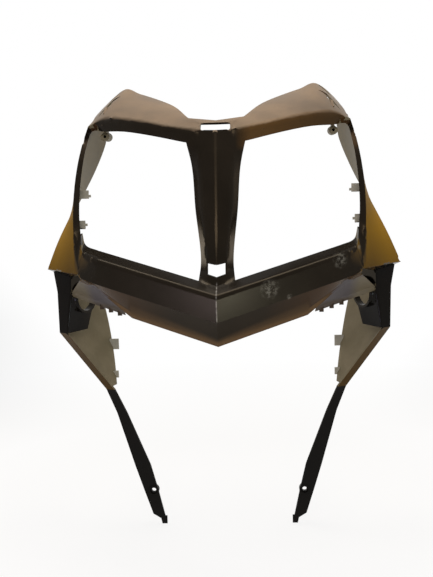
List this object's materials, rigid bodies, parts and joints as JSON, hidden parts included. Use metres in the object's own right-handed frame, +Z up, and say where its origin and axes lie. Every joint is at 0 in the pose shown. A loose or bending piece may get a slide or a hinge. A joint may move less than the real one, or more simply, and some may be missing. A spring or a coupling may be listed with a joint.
{
  "type": "front fairing panel",
  "caption": "Moulded scooter front fairing panel: headlight openings either side of a ridged pillar, V-shaped chin, hooded brows, flared cheeks and long tapering legs.",
  "frame": {"origin": "midway between the two leg screw holes, on the front face of their sunk seats", "axes": "+X to the rider's left, +Y to the rear, +Z up"},
  "size_m": [0.444, 0.2421, 0.5764],
  "materials": {
    "panel_plastic": "satin dark bronze paint outside, bare grey moulding inside"
  },
  "bodies": {
    "root": {"front_panel": "panel_plastic"}
  },
  "joints": []
}
